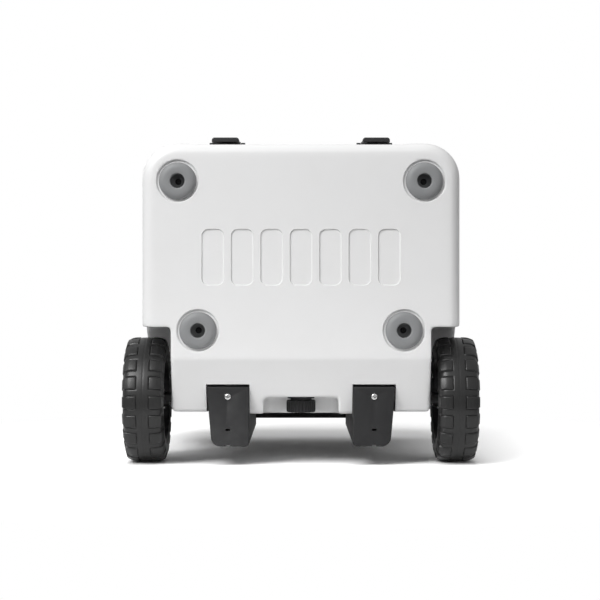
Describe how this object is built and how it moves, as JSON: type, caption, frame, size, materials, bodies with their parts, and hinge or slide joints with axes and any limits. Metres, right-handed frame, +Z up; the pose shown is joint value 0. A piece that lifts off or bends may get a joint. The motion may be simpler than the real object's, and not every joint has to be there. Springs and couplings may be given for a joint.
{
  "type": "wheeled hard cooler",
  "caption": "Hard-sided white cooler with hinged insulated lid, rubber latches, telescoping tow handle in dark rear rails, two large rear wheels, round rubber feet and a screw-out drain plug.",
  "frame": {"origin": "on the floor at the middle of the cooler's footprint, with the four feet standing on z = 0", "axes": "+Z up, the latched front faces -Y, the rails and wheels are at +Y, +X is to the right when facing the front"},
  "size_m": [0.5, 0.491, 0.528],
  "materials": {
    "shell_white": "fine moulded satin",
    "foam": "rigid insulating foam",
    "gasket_rubber": "soft matte rubber",
    "charcoal_plastic": "fine textured dark plastic",
    "button_grey": "smooth satin plastic",
    "steel": "brushed steel",
    "screw_steel": "bright plated screws",
    "tube_aluminium": "satin anodised tube",
    "tyre_rubber": "satin solid rubber",
    "rim_black": "dark moulded plastic",
    "nylon": "smooth bearing plastic",
    "foot_rubber": "grey rubber"
  },
  "bodies": {
    "cooler_body": {"body_shell": "shell_white", "body_foam": "foam", "hinge_base_left": "charcoal_plastic", "hinge_base_right": "charcoal_plastic", "hinge_pin_left": "steel", "hinge_pin_right": "steel", "hinge_base_screws": "screw_steel", "latch_keeper_left": "charcoal_plastic", "latch_keeper_right": "charcoal_plastic", "latch_keeper_screws": "screw_steel", "axle_stub_left": "steel", "axle_stub_right": "steel", "axle_washer_left": "steel", "axle_washer_right": "steel", "axle_clip_left": "steel", "axle_clip_right": "steel", "axle_screws": "screw_steel", "rail_housing_left": "charcoal_plastic", "rail_housing_right": "charcoal_plastic", "rail_bezel_left": "charcoal_plastic", "rail_bezel_right": "charcoal_plastic", "rail_screws": "screw_steel", "foot_front_left": "foot_rubber", "foot_front_right": "foot_rubber", "foot_rear_left": "foot_rubber", "foot_rear_right": "foot_rubber", "foot_screws": "screw_steel", "drain_spout": "charcoal_plastic"},
    "lid": {"lid_shell": "shell_white", "lid_foam": "foam", "lid_gasket": "gasket_rubber", "hinge_leaf_left": "charcoal_plastic", "hinge_leaf_right": "charcoal_plastic", "hinge_leaf_screws": "screw_steel", "latch_bracket_left": "charcoal_plastic", "latch_bracket_right": "charcoal_plastic", "latch_pin_left": "steel", "latch_pin_right": "steel", "latch_bracket_screws": "screw_steel"},
    "latch_left": {"latch_lever_left": "charcoal_plastic"},
    "latch_right": {"latch_lever_right": "charcoal_plastic"},
    "handle_lower": {"handle_tube_lower_left": "tube_aluminium", "handle_tube_lower_right": "tube_aluminium", "handle_collar_left": "charcoal_plastic", "handle_collar_right": "charcoal_plastic"},
    "handle_upper": {"handle_tube_upper_left": "tube_aluminium", "handle_tube_upper_right": "tube_aluminium", "handle_grip": "charcoal_plastic"},
    "release_button": {"release_button": "button_grey"},
    "wheel_left": {"tyre_left": "tyre_rubber", "wheel_rim_left": "rim_black", "wheel_bushing_left": "nylon", "hub_cap_left": "charcoal_plastic"},
    "wheel_right": {"tyre_right": "tyre_rubber", "wheel_rim_right": "rim_black", "wheel_bushing_right": "nylon", "hub_cap_right": "charcoal_plastic"},
    "drain_seal": {"drain_seal": "gasket_rubber"},
    "drain_plug": {"drain_plug": "charcoal_plastic"}
  },
  "joints": [
    {"name": "lid_hinge", "type": "hinge", "parent": "cooler_body", "child": "lid", "pos_m": [0, 0.19, 0.447], "axis": [1, 0, 0], "range_deg": [-100, 0]},
    {"name": "latch_left_hinge", "type": "hinge", "parent": "lid", "child": "latch_left", "pos_m": [-0.1214, -0.2405, 0.47], "axis": [1, 0, 0], "range_deg": [-95, 0]},
    {"name": "latch_right_hinge", "type": "hinge", "parent": "lid", "child": "latch_right", "pos_m": [0.1214, -0.2405, 0.47], "axis": [1, 0, 0], "range_deg": [-95, 0]},
    {"name": "handle_lower_slide", "type": "slide", "parent": "cooler_body", "child": "handle_lower", "axis": [0, 0, 1], "range_m": [0, 0.29]},
    {"name": "handle_upper_slide", "type": "slide", "parent": "handle_lower", "child": "handle_upper", "axis": [0, 0, 1], "range_m": [0, 0.29]},
    {"name": "button_slide", "type": "slide", "parent": "handle_upper", "child": "release_button", "axis": [0, 0, -1], "range_m": [0, 0.003], "stiffness_N_per_m": 400},
    {"name": "wheel_left_spin", "type": "hinge", "parent": "cooler_body", "child": "wheel_left", "pos_m": [-0.219, 0.1558, 0.092], "axis": [1, 0, 0], "continuous": true},
    {"name": "wheel_right_spin", "type": "hinge", "parent": "cooler_body", "child": "wheel_right", "pos_m": [0.219, 0.1558, 0.092], "axis": [1, 0, 0], "continuous": true},
    {"name": "drain_travel", "type": "slide", "parent": "cooler_body", "child": "drain_seal", "axis": [0, 1, 0], "range_m": [0, 0.012]},
    {"name": "drain_turn", "type": "hinge", "parent": "drain_seal", "child": "drain_plug", "pos_m": [0, 0.16, 0.065], "axis": [0, 1, 0], "range_deg": [0, 1080]}
  ],
  "couplings": [
    {"joint": "drain_turn", "follows": "drain_travel", "rad_per_m": 1570}
  ]
}
